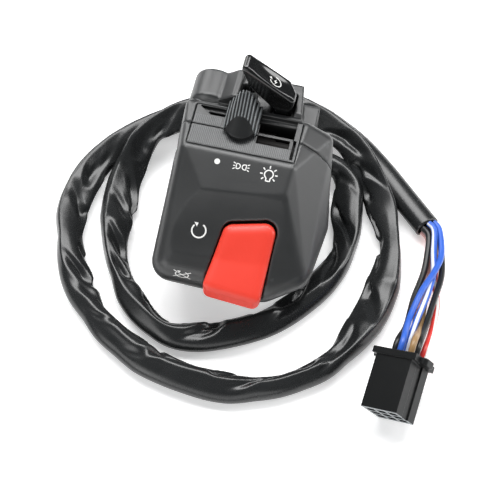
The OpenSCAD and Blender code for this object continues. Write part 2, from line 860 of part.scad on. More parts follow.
module start_terminals() {
    color("goldenrod")
        for (y = start_posts)
            translate([plunger_x, paddle_mid + y, pocket_floor])
                cylinder(r = post_r, h = start_base_t + post_h);
}

module cable_grommet() {
    color("black")
        translate([outlet_face, outlet_y, outlet_z]) rotate([0, 90, 0])
            difference() {
                union() {
                    cylinder(r = grommet_flange_r, h = grommet_flange_t);
                    translate([0, 0, -grommet_neck]) cylinder(r = grommet_neck_r, h = grommet_neck + 0.5);
                }
                translate([0, 0, -grommet_neck - past])
                    cylinder(r = grommet_bore_r, h = grommet_neck + grommet_flange_t + 2 * past);
            }
}

// Sleeve: out of the grommet, once round inside, over the second turn behind the housing, once round outside, then the tail
sleeve_start = [outlet_face + grommet_flange_t, outlet_y, outlet_z];
sleeve_z = base_z + sleeve_d / 2;
// Points of the sleeve's middle line: x, y and lift off the table
sleeve_points = [
    [29, 19.2, 3.3], [32.4, 16.9, 2], [34.7, 13.5, 0.9], [35.4, 9.5, 0.2], [36.4, 2.5, 0],
    [38, -7.1, 0], [36.5, -19.1, 0], [29, -33.6, 0], [19, -45.6, 0], [6, -54.1, 0], [-8, -58.6, 0],
    [-19, -57.1, 0], [-30, -48.6, 0], [-39, -35.1, 0], [-43, -20.1, 0], [-45, -5.1, 0], [-44.4, 3.6, 0.5],
    [-43.2, 8.8, 2.8], [-41.2, 12.9, 5.4], [-36.5, 18.9, 7.2], [-29.5, 25.4, 8], [-18, 31.9, 8], [-5, 35.9, 8],
    [8, 37.9, 8], [20, 35.4, 6.5], [28, 30.9, 6.5], [34, 26.4, 6.5], [39.8, 20.1, 5], [45.5, 11.9, 1.5],
    [50.5, 1.9, 0], [54, -11.1, 0], [53.5, -26.1, 0], [49.5, -42.1, 0], [41, -57.6, 0], [28, -68.1, 0],
    [12, -73.6, 0], [-5, -73.1, 0], [-21.5, -69.1, 0], [-36, -61.1, 0], [-47.5, -49.6, 0], [-55.5, -35.6, 0],
    [-59.5, -19.6, 0], [-58.2, -4.1, 0], [-53.6, 7.6, 0], [-47, 16.4, 0], [-37.2, 25.6, 0], [-25, 34.4, 0],
    [-11, 41.4, 0], [4, 43.9, 0], [18, 42.4, 0], [29, 36.9, 0], [37, 31.4, 0], [46, 23.4, 0], [55, 14.4, 0],
    [65.4, 3.6, 0.5]
];
sleeve_route = concat([sleeve_start, sleeve_start + [1, 0, 0]],
    [for (p = sleeve_points) [p[0], p[1], sleeve_z + p[2]]]);

module cable_sleeve() {
    color("black") tube(sleeve_route, sleeve_d, 10);
}

// Wires: seven side by side from the end of the sleeve to their cavities in the plug
sleeve_end = sleeve_route[len(sleeve_route) - 1];
tail_heading = heading(sleeve_route, len(sleeve_route) - 1);
plug_yaw = -5.5;
plug_pitch = 14.5;
plug_roll = -27.8;
flange_t = 2.2;
flange_lip = 1.4;
ear_out = 3.4;
ear_h = 7;
ear_round = 1.6;
key_w = 4.4;
key_depth = 0.5;
wire_mid = [sleeve_end + 4 * tail_heading, [69.8, -8.8, base_z + 5], [70, -17.1, base_z + 5.8],
    [68.4, -28.1, base_z + 8], [67.2, -40.1, base_z + 11]];
bundle_r = 2.65;
wire_gap = 0.3;
plug_step = 5;

// The bundle turns by one place and spreads on its way: turn and spread at the sleeve and at each middle point
bundle_turn = [60, 57, 46, 30, 14, 4];
bundle_spread = [1, 1, 1.08, 1.2, 1.32, 1.3];

// Place in the bundle, and column and row in the plug, of wire k: one in the middle and six around it
function bundle_place(k, i) =
    let (a = 60 * k - 90 + bundle_turn[i])
    k == 0 ? [0, 0] : bundle_r * bundle_spread[i] * [cos(a), sin(a)];
cavity_of = [[0, 0], [1, 0], [0, 1], [-1, 1], [-1, 0], [-1, -1], [0, -1]];

function turned(p) =
    let (a = [cos(plug_roll) * p[0] + sin(plug_roll) * p[2], p[1], cos(plug_roll) * p[2] - sin(plug_roll) * p[0]],
        b = [a[0], cos(plug_pitch) * a[1] - sin(plug_pitch) * a[2], sin(plug_pitch) * a[1] + cos(plug_pitch) * a[2]])
    [cos(plug_yaw) * b[0] - sin(plug_yaw) * b[1], sin(plug_yaw) * b[0] + cos(plug_yaw) * b[1], b[2]];
// The plug lies on the table with the lowest corner of its flange
flange_corners = [for (sx = [-1, 1], sz = [-1, 1], y = [0, -flange_t])
    each [turned([sx * (plug_w / 2 + flange_lip), y, sz * (plug_h / 2 + flange_lip / 2)]),
        turned([sx * (plug_w / 2 + ear_out), y, sz * ear_h / 2])]];
body_corners = [for (sx = [-1, 1], sz = [-1, 1]) turned([sx * plug_w / 2, -plug_len, sz * plug_h / 2])];
plug_spot = [65, -53.7];
plug_at = [plug_spot[0], plug_spot[1], base_z - min([for (c = concat(flange_corners, body_corners)) c[2]])];
function cavity_point(k, y) =
    plug_at + turned([-cavity_of[k][0] * cavity_pitch, y, cavity_of[k][1] * cavity_pitch]);

function beside(centre, along, place) =
    let (side = unit(cross(along, [0, 0, 1])), rise = cross(side, along))
    centre + place[0] * side + place[1] * rise;
function wire_route(k) =
    let (spine = concat([sleeve_end], wire_mid, [plug_at]))
    concat([beside(sleeve_end + wire_gap * tail_heading, tail_heading, bundle_place(k, 0))],
        [for (i = [1 : len(wire_mid)])
            beside(spine[i], i == 1 ? tail_heading : heading(spine, i), bundle_place(k, i))],
        [cavity_point(k, plug_step), cavity_point(k, -1)]);

module wire(k, shade) {
    color(shade) tube(wire_route(k), wire_d, 8);
}

module wire_brown() wire(3, "peru");
module wire_black() wire(1, "black");
module wire_blue() wire(2, "royalblue");
module wire_white_blue() wire(0, "lightsteelblue");
module wire_grey() wire(4, "dimgray");
module wire_red() wire(5, "red");
module wire_pink() wire(6, "pink");

module plug_frame() {
    translate(plug_at) rotate([0, 0, plug_yaw]) rotate([plug_pitch, 0, 0]) rotate([0, plug_roll, 0]) children();
}

module plug_body() {
    half_w = plug_w / 2;
    half_h = plug_h / 2;
    color("darkslategray")
        plug_frame()
            difference() {
                union() {
                    block([-half_w, -plug_len, -half_h], [half_w, 0, half_h]);
                    block([-half_w - flange_lip, -flange_t, -half_h - flange_lip / 2],
                        [half_w + flange_lip, 0, half_h + flange_lip / 2]);
                    block([-half_w - ear_out + ear_round, -flange_t, -ear_h / 2],
                        [half_w + ear_out - ear_round, 0, ear_h / 2]);
                    block([-half_w - ear_out, -flange_t, ear_round - ear_h / 2],
                        [half_w + ear_out, 0, ear_h / 2 - ear_round]);
                    for (sx = [-1, 1], sz = [-1, 1])
                        rod_y(sx * (half_w + ear_out - ear_round), sz * (ear_h / 2 - ear_round), ear_round, -flange_t, 0);
                }
                for (col = [-1, 0, 1], row = [-1, 0, 1])
                    translate([col * cavity_pitch, -plug_len / 2, row * cavity_pitch])
                        cube([cavity_w, plug_len + 2 * past, cavity_w], center = true);
                block([half_w - key_depth, -plug_len - past, -key_w / 2], [half_w + past, -flange_t, key_w / 2]);
            }
}

terminal_w = 2.4;
terminal_len = 9;
terminal_back = 2;

module plug_terminals() {
    color("gold")
        plug_frame()
            for (c = cavity_of)
                translate([-c[0] * cavity_pitch, -1 - terminal_len, c[1] * cavity_pitch])
                    difference() {
                        block([-terminal_w / 2, 0, -cavity_w / 2], [terminal_w / 2, terminal_len, -cavity_w / 2 + terminal_w]);
                        block([-0.6, -past, -0.8], [0.6, terminal_len - terminal_back, 0]);
                    }
}

rear_housing();
front_housing();
slot_cover();
housing_screws();
light_knob();
light_carriage();
light_contact();
light_detent_ball();
light_detent_spring();
light_base();
light_terminals();
kill_rocker();
kill_contact();
rocker_pin();
kill_base();
kill_terminals();
kill_base_screws();
start_paddle();
paddle_pin();
start_plunger();
start_contact();
start_spring();
start_base();
start_terminals();
cable_grommet();
cable_sleeve();
wire_black();
wire_blue();
wire_white_blue();
wire_brown();
wire_grey();
wire_red();
wire_pink();
plug_body();
plug_terminals();
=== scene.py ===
# Handlebar switch cluster with its sleeved harness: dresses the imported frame
import json
import math
import bpy
import bmesh
import numpy as np
from mathutils import Matrix, Vector, noise
from mathutils.bvhtree import BVHTree

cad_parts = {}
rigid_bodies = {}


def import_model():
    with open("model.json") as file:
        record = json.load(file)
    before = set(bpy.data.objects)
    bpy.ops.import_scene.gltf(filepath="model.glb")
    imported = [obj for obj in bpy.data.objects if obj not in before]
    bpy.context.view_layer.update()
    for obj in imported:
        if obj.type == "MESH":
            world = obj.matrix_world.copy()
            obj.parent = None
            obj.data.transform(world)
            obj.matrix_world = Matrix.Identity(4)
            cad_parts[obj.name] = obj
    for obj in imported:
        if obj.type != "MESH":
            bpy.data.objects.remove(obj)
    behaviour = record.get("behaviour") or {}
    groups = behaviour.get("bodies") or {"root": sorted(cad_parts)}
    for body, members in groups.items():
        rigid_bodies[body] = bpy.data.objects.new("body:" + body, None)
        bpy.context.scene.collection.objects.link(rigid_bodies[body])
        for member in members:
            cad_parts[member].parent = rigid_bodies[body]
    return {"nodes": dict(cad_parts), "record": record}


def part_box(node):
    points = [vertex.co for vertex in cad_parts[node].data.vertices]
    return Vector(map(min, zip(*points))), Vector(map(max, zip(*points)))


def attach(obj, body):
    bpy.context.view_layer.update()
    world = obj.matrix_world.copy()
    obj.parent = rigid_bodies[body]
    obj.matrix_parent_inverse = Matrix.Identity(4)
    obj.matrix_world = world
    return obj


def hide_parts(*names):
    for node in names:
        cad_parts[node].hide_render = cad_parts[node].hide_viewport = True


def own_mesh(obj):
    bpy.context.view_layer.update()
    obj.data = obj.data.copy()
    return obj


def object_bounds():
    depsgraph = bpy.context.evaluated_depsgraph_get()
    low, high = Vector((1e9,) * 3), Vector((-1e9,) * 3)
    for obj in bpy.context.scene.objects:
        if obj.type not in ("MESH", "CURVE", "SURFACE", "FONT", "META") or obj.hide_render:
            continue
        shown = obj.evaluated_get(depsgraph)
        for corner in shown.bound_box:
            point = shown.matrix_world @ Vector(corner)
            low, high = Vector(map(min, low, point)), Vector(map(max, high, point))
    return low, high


for stray in list(bpy.data.objects):
    bpy.data.objects.remove(stray, do_unlink=True)
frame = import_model()
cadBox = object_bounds()
tableZ = cadBox[0][2]
mm = 0.001
print("frame loaded, table at", round(tableZ / mm, 2), "mm")


def linked(name, data):
    obj = bpy.data.objects.new(name, data)
    bpy.context.scene.collection.objects.link(obj)
    return obj


# camera: the photograph's place, tilt and roll, for a 500 by 500 picture
photoCamera = {
    "place": (0.04433, -0.23967, 0.37026),
    "right": (0.97561, 0.21797, 0.02617),
    "up": (-0.20171, 0.84264, 0.49931),
    "view": (0.08682, -0.49240, 0.86603),
    "lens": 90.72,
    "sensor": 36.0,
    "nearest": 0.01,
}


def setCamera(p):
    lensData = bpy.data.cameras.new("photoCamera")
    lensData.lens = p["lens"]
    lensData.sensor_width = p["sensor"]
    lensData.sensor_fit = "HORIZONTAL"
    lensData.clip_start = p["nearest"]
    camera = linked("photoCamera", lensData)
    axes = Matrix((p["right"], p["up"], p["view"])).transposed().to_4x4()
    camera.matrix_world = Matrix.Translation(p["place"]) @ axes
    bpy.context.scene.camera = camera


setCamera(photoCamera)

studio = {
    "worldTint": (0.92, 0.96, 1.0, 1),
    "worldPower": 0.15,
    "floorTint": (0.95, 0.95, 0.95, 1),
    "floorGlow": 0.42,  # light table, which keeps the shadows pale
    "floorRough": 0.9,
    "floorReach": 2,
    "lamps": [  # name, place, width, depth, watts; each aims at the origin
        ("backSoftbox", (-0.10, 0.40, 0.92), 1.20, 0.42, 13.0),
        ("leftWindow", (-0.66, 0.60, 0.52), 0.45, 0.50, 3.6),
        ("rightWindow", (0.88, 0.28, 0.50), 0.22, 0.80, 4.5),
        ("frontLeft", (-0.70, -0.80, 0.55), 0.60, 0.50, 2.5),
        ("frontLow", (0.00, -1.15, 0.42), 1.60, 0.50, 4.4),
    ],
}


def setStudio(p):
    scene = bpy.context.scene
    scene.view_settings.view_transform = "Standard"
    scene.view_settings.look = "None"
    world = bpy.data.worlds.new("studio")
    world.use_nodes = True
    sky = world.node_tree.nodes["Background"]
    sky.inputs["Color"].default_value = p["worldTint"]
    sky.inputs["Strength"].default_value = p["worldPower"]
    scene.world = world
    for name, place, width, depth, watts in p["lamps"]:
        lampData = bpy.data.lights.new(name, "AREA")
        lampData.shape = "RECTANGLE"
        lampData.size, lampData.size_y, lampData.energy = width, depth, watts
        lamp = linked(name, lampData)
        turned = Vector(place).to_track_quat("Z", "Y").to_matrix().to_4x4()
        lamp.matrix_world = Matrix.Translation(place) @ turned
    plane = bpy.data.meshes.new("floor")
    reach = p["floorReach"]
    corners = [(x * reach, y * reach, tableZ) for x, y in ((-1, -1), (1, -1), (1, 1), (-1, 1))]
    plane.from_pydata(corners, [], [(0, 1, 2, 3)])
    floor = linked("floor", plane)
    paper = bpy.data.materials.new("floorPaper")
    paper.use_nodes = True
    sheet = paper.node_tree.nodes["Principled BSDF"].inputs
    for socket, value in (("Base Color", p["floorTint"]), ("Emission Color", p["floorTint"]),
                          ("Emission Strength", p["floorGlow"]), ("Roughness", p["floorRough"])):
        sheet[socket].default_value = value
    plane.materials.append(paper)


setStudio(studio)
print("camera and studio set")


# shader maths on sockets: Val takes + - * / and powers with numbers or other sockets
class Val:
    def __init__(self, look, socket):
        self.look, self.socket = look, socket

    def _maths(self, operation, first, second):
        return self.look.node("Math", {"operation": operation}, {0: first, 1: second})

    def __add__(self, other):
        return self._maths("ADD", self, other)

    def __radd__(self, other):
        return self._maths("ADD", other, self)

    def __sub__(self, other):
        return self._maths("SUBTRACT", self, other)

    def __rsub__(self, other):
        return self._maths("SUBTRACT", other, self)

    def __mul__(self, other):
        return self._maths("MULTIPLY", self, other)

    def __rmul__(self, other):
        return self._maths("MULTIPLY", other, self)

    def __truediv__(self, other):
        return self._maths("DIVIDE", self, other)

    def __rtruediv__(self, other):
        return self._maths("DIVIDE", other, self)

    def __pow__(self, other):
        return self._maths("POWER", self, other)

    def __rpow__(self, other):
        return self._maths("POWER", other, self)

    def above(self, level):
        return self._maths("GREATER_THAN", self, level)


skinSockets = {"colour": "Base Color", "rough": "Roughness", "metal": "Metallic", "normal": "Normal",
               "coat": "Coat Weight", "coatRough": "Coat Roughness", "specular": "Specular IOR Level"}


class Look:
    def __init__(self, name):
        self.material = bpy.data.materials.new(name)
        self.material.use_nodes = True
        self.tree = self.material.node_tree
        self.skin = self.tree.nodes["Principled BSDF"]

    def put(self, socket, value):
        if isinstance(value, Val):
            self.tree.links.new(value.socket, socket)
        else:
            socket.default_value = value

    def node(self, kind, settings=None, sockets=None, out=0):
        made = self.tree.nodes.new("ShaderNode" + kind)
        for key, value in (settings or {}).items():
            if key == "stops":
                ramp = made.color_ramp.elements
                while len(ramp) < len(value):
                    ramp.new(0.5)
                for element, (place, tint) in zip(ramp, value):
                    element.position, element.color = place, tint
            else:
                setattr(made, key, value)
        for key, value in (sockets or {}).items():
            self.put(made.inputs[key], value)
        return Val(self, made.outputs[out])

    def skinSet(self, **values):
        for key, value in values.items():
            self.put(self.skin.inputs[skinSockets[key]], value)

    def place(self):
        return self.node("TexCoord", out="Object")

    def cloud(self, scale, detail, rough, vector=None):
        sockets = {"Vector": vector or self.place(), "Scale": scale, "Detail": detail, "Roughness": rough}
        return self.node("TexNoise", {}, sockets)

    def stretched(self, x, y, z):
        return self.node("Mapping", {}, {"Vector": self.place(), "Scale": (x, y, z)})

    def tint(self, factor, dark, light):
        return self.node("ValToRGB", {"stops": [(0.0, dark), (1.0, light)]}, {"Fac": factor})

    def mix(self, factor, first, second):
        return self.node("Mix", {"data_type": "RGBA"}, {0: factor, 6: first, 7: second}, out=2)

    def along(self, axis):
        return self.node("VectorMath", {"operation": "DOT_PRODUCT"}, {0: self.place(), 1: axis}, out="Value")

    def bump(self, height, strength, distance):
        return self.node("Bump", {}, {"Height": height, "Strength": strength, "Distance": distance})


def grey(level, cool=0.06):
    return (level * (1 - cool), level, level * (1 + cool / 2), 1)


def mouldedPlastic(name, dark, light, rough, grainScale=2400, grainPower=0.16, edgeWearAndLight=0.35, specular=0.5,
                   shade=None):
    look = Look(name)
    grain = look.cloud(scale=grainScale, detail=2, rough=0.55)
    haze = look.cloud(scale=55, detail=4, rough=0.6)
    scuff = look.cloud(scale=90, detail=3, rough=0.7, vector=look.stretched(1, 6, 1)) ** 4
    # convex edges are coloured lighter: partly abrasion of the edges, partly a painted highlight along them
    edges = look.node("NewGeometry", out="Pointiness")
    worn = look.node("ValToRGB", {"stops": [(0.50, grey(0)), (0.58, grey(1))]}, {"Fac": edges})
    colour = look.tint(haze * 0.75 + scuff * 0.5, dark, light)
    rubbedAndLit = tuple(min(1, 2.4 * c + 0.02) for c in light[:3]) + (1,)
    colour = look.mix(worn * edgeWearAndLight, colour, rubbedAndLit)
    if shade:
        colour = shade(look, colour)
    look.skinSet(colour=colour, rough=rough - 0.05 + haze * 0.1 + grain * 0.04 - scuff * 0.1,
                 normal=look.bump(grain, strength=grainPower, distance=0.00008), specular=specular)
    return look.material


def sunkShade(level, tone):  # painted shade: the plate is coloured dark below the level, in its recesses
    def shade(look, colour):
        height = look.along((0, 0, 1))
        return look.mix(height.above(level * mm), grey(tone), colour)
    return shade


def paintedRimHighlight(axis, level, tone):  # painted highlight: the cut rim of the plug's open end is coloured light grey
    def shade(look, colour):
        return look.mix(look.along(axis).above(level * mm), colour, grey(tone))
    return shade


def ribShade(p):  # rib crests coloured lighter, partly abrasion and partly a painted highlight; painted shade: the smooth nose inside the arch where the ribs end is coloured near black
    def shade(look, colour):
        x, y = look.along((1, 0, 0)) / mm, look.along((0, 1, 0)) / mm
        turn = (x - p["middle"]) * (2 * math.pi / p["pitch"])
        crest = look.node("Math", {"operation": "COSINE"}, {0: turn}) * 0.5 + 0.5
        streak = look.cloud(scale=500, detail=3, rough=0.6, vector=look.stretched(4, 1, 1))
        rubbedAndLit = look.mix(crest ** 2 * (0.4 + streak * 0.6), colour, grey(p["rubbedAndLit"]))
        reach = (x - p["middle"]) ** 2 + (y - p["arch"]) ** 2
        return look.mix(reach.above(p["archRadius"] ** 2), grey(p["nose"]), rubbedAndLit)
    return shade


def glossPlastic(name, dark, light, rough, coat=0.0):
    look = Look(name)
    haze = look.cloud(scale=70, detail=3, rough=0.55)
    orange = look.cloud(scale=420, detail=1, rough=0.4)
    specks = look.cloud(scale=1500, detail=1, rough=0.5) ** 5
    look.skinSet(colour=look.tint(haze, dark, light), rough=rough + haze * 0.05 + specks * 0.3,
                 normal=look.bump(orange, strength=0.05, distance=0.0001), coat=coat, coatRough=0.08)
    return look.material


def softVinyl(name, dark, light, rough):
    look = Look(name)
    haze = look.cloud(scale=120, detail=4, rough=0.6)
    dust = look.cloud(scale=2600, detail=2, rough=0.6) ** 6
    wrinkle = look.cloud(scale=260, detail=3, rough=0.55)
    fine = look.cloud(scale=900, detail=2, rough=0.5)
    look.skinSet(colour=look.tint(haze * 0.7 + dust, dark, light), rough=rough + haze * 0.1 + dust * 0.3,
                 normal=look.bump(wrinkle * 0.8 + fine * 0.2, strength=0.06, distance=0.0003), specular=0.55)
    return look.material


def metalLook(name, dark, light, rough, brushed):
    look = Look(name)
    streaks = look.cloud(scale=700, detail=3, rough=0.6, vector=look.stretched(*brushed))
    stain = look.cloud(scale=160, detail=4, rough=0.6)
    look.skinSet(colour=look.tint(stain, dark, light), rough=rough + streaks * 0.16 + stain * 0.08, metal=1.0,
                 normal=look.bump(streaks, strength=0.1, distance=0.00006))
    return look.material


def boardLook(name, dark, light):
    look = Look(name)
    fibre = look.cloud(scale=900, detail=3, rough=0.65, vector=look.stretched(1, 5, 1))
    look.skinSet(colour=look.tint(fibre, dark, light), rough=0.55 + fibre * 0.2,
                 normal=look.bump(fibre, strength=0.2, distance=0.0001))
    return look.material


def paintLook(name, light):
    look = Look(name)
    worn = look.cloud(scale=1800, detail=3, rough=0.6)
    dull = tuple(c * 0.82 for c in light[:3]) + (1,)
    look.skinSet(colour=look.tint(worn, dull, light), rough=0.45 + worn * 0.15)
    return look.material


def wireSkin(name, dark, light, stripe=None):
    look = Look(name)
    haze = look.cloud(scale=240, detail=3, rough=0.6)
    colour = look.tint(haze, dark, light)
    if stripe:
        around = look.node("Attribute", {"attribute_name": "wireAround"}, out="Fac")
        along = look.node("Attribute", {"attribute_name": "wireAlong"}, out="Fac")
        turn = look.node("Math", {"operation": "FRACT"}, {0: around + along * stripe["turns"]})
        band = turn.above(1 - stripe["share"])
        colour = look.mix(band, colour, stripe["tint"])
    look.skinSet(colour=colour, rough=0.28 + haze * 0.12,
                 normal=look.bump(haze, strength=0.06, distance=0.0001))
    return look.material


finishes = {  # tones from dark to light, then roughness
    "housing": mouldedPlastic("housingBlack", grey(0.011), grey(0.020), 0.38, specular=0.8),
    "cover": mouldedPlastic("coverBlack", grey(0.016), grey(0.026), 0.42, specular=0.8,
                            shade=sunkShade(25.3, 0.006)),
    # painted highlight: the cover's ribs are the cover's plastic coloured lighter, as if they catch the light
    "ribsPaintedLighter": mouldedPlastic("ribsPaintedLighterBlack", grey(0.030), grey(0.060), 0.44, specular=0.8),
    "knob": mouldedPlastic("knobBlack", grey(0.012), grey(0.020), 0.36, edgeWearAndLight=0.3,
                           shade=ribShade({"middle": -3.4, "pitch": 12 / 11, "rubbedAndLit": 0.30, "nose": 0.010,
                                           "arch": -3.45, "archRadius": 5.15})),
    "paddle": glossPlastic("paddleBlack", grey(0.004), grey(0.007), 0.12, coat=0.25),
    "redCap": glossPlastic("rockerRed", (0.70, 0.038, 0.020, 1), (0.78, 0.050, 0.028, 1), 0.36, coat=0.05),
    "carrier": glossPlastic("acetalGrey", grey(0.50, 0), grey(0.58, 0), 0.38),
    "board": boardLook("darkBoard", (0.006, 0.005, 0.005, 1), (0.015, 0.012, 0.010, 1)),
    "brass": metalLook("brassStrip", (0.62, 0.44, 0.18, 1), (0.80, 0.62, 0.30, 1), 0.26, (1, 8, 1)),
    "steel": metalLook("zincSteel", (0.48, 0.48, 0.50, 1), (0.68, 0.68, 0.70, 1), 0.28, (6, 1, 1)),
    "grommet": softVinyl("grommetRubber", grey(0.010), grey(0.018), 0.55),
    "sleeve": softVinyl("sleeveVinyl", grey(0.012), grey(0.020), 0.21),
    "plug": mouldedPlastic("plugNylon", grey(0.008), grey(0.013), 0.32, grainScale=3200, grainPower=0.08,
                           edgeWearAndLight=0.1, specular=0.15,
                           shade=paintedRimHighlight((-0.0928, -0.9637, -0.2504), 67.42, 0.30)),
    "paint": paintLook("signPaint", (0.86, 0.86, 0.84, 1)),
}
print("finishes made:", len(finishes))


def dress(obj, material):
    obj.data.materials.clear()
    obj.data.materials.append(material)


def newPiece(name, mesh, material, body, slot, *nodes):
    piece = linked(name, mesh)
    if material:
        dress(piece, material)
    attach(piece, body)
    if nodes:
        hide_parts(*nodes)
    return piece


def solved(obj):
    graph = bpy.context.evaluated_depsgraph_get()
    mesh = bpy.data.meshes.new_from_object(obj.evaluated_get(graph), depsgraph=graph)
    bpy.data.objects.remove(obj, do_unlink=True)
    return mesh


def mergedCopy(nodeName):
    mesh = frame["nodes"][nodeName].data.copy()
    mesh.materials.clear()
    shape = bmesh.new()
    shape.from_mesh(mesh)
    bmesh.ops.remove_doubles(shape, verts=shape.verts, dist=1e-6)
    shape.to_mesh(mesh)
    shape.free()
    return mesh


mouldEase = 0.5  # how far each smoothing round goes


def flowed(mesh, p):  # faces that look one way flow into each other
    work = linked("flowWork", mesh)
    group = work.vertex_groups.new(name="flow")
    facing = Vector(p["facing"]).normalized()
    group.add([v.index for v in mesh.vertices if v.normal.dot(facing) > p["least"]], 1.0, "REPLACE")
    ease = work.modifiers.new("ease", "SMOOTH")
    ease.vertex_group, ease.factor, ease.iterations = "flow", mouldEase, p["rounds"]
    return solved(work)


def dished(mesh, p):  # shallow hollow for the thumb
    centre, facing = Vector(p["centre"]), Vector(p["facing"]).normalized()
    along = Vector((facing.z, 0, -facing.x))
    for v in mesh.vertices:
        off = v.co / mm - centre
        fall = max(0.0, 1 - (off.dot(along) / p["half"]) ** 2) * max(0.0, 1 - (off.y / p["halfWidth"]) ** 2)
        v.co -= facing * (p["depth"] * fall * max(0.0, 1 - abs(off.dot(facing)) / p["fade"]) * mm)


# moulded copy of a CAD node: fine remesh, then smoothing rounds its edges like a tool's fillets
def mouldedMesh(nodeName, p):
    work = linked(nodeName + "Work", mergedCopy(nodeName))
    skin = work.modifiers.new("skin", "REMESH")
    skin.mode, skin.voxel_size, skin.use_smooth_shade = "VOXEL", p["voxel"] * mm, True
    ease = work.modifiers.new("ease", "SMOOTH")
    ease.factor, ease.iterations = mouldEase, p["rounds"]
    mesh = solved(work)
    if "flow" in p:
        mesh = flowed(mesh, p["flow"])
    if "dish" in p:
        dished(mesh, p["dish"])
    work = linked(nodeName + "Work", mesh)
    thin = work.modifiers.new("thin", "DECIMATE")
    thin.ratio = p["keep"]
    mesh = solved(work)
    mesh.name = nodeName
    mesh.shade_smooth()
    return mesh


mouldings = [  # node, piece, finish, body, slot, settings
    ("rear_housing", "rearShell", "housing", "housing", "housing",
     {"voxel": 0.42, "rounds": 7, "keep": 0.55}),
    ("front_housing", "frontShell", "housing", "housing", "housing",
     {"voxel": 0.42, "rounds": 5, "keep": 0.6}),
    ("slot_cover", "slotPlate", "cover", "housing", "housing",
     {"voxel": 0.2, "rounds": 2, "keep": 0.4}),
    ("light_knob", "lightKnob", "knob", "light_slide_unit", "knob",
     {"voxel": 0.12, "rounds": 3, "keep": 0.6}),
    ("kill_rocker", "redRocker", "redCap", "rocker_unit", "red_cap",
     {"voxel": 0.2, "rounds": 10, "keep": 0.6,
      "flow": {"facing": (0, -0.6, 0.8), "least": 0.8, "rounds": 150}}),
    ("start_paddle", "thumbPaddle", "paddle", "paddle_unit", "paddle",
     {"voxel": 0.18, "rounds": 13, "keep": 0.6,
      "dish": {"centre": (4.6, 14.0, 39.4), "facing": (0.617, 0, 0.786), "half": 8.5, "halfWidth": 3.1,
               "depth": 0.7, "fade": 2.2}}),
    ("light_carriage", "slideCarriage", "carrier", "light_slide_unit", "carrier",
     {"voxel": 0.2, "rounds": 6, "keep": 0.4}),
    ("plug_body", "plugShell", "plug", "housing", "plug",
     {"voxel": 0.13, "rounds": 2, "keep": 0.3}),
]
pieces = {}
for nodeName, pieceName, finish, body, slot, settings in mouldings:
    mesh = mouldedMesh(nodeName, settings)
    pieces[pieceName] = newPiece(pieceName, mesh, finishes[finish], body, slot, nodeName)
    print("moulded", pieceName, len(mesh.polygons), "faces")

plainNodes = {
    "housing_screws": "steel", "light_contact": "brass", "light_detent_ball": "steel",
    "light_detent_spring": "steel", "light_base": "board", "light_terminals": "brass",
    "kill_contact": "brass", "rocker_pin": "steel", "kill_base": "board", "kill_terminals": "brass",
    "kill_base_screws": "steel", "paddle_pin": "steel", "start_plunger": "carrier", "start_contact": "brass",
    "start_base": "board", "start_terminals": "brass", "cable_grommet": "grommet", "plug_terminals": "brass",
}
for nodeName, finish in plainNodes.items():
    dress(frame["nodes"][nodeName], finishes[finish])
print("inner parts dressed:", len(plainNodes))

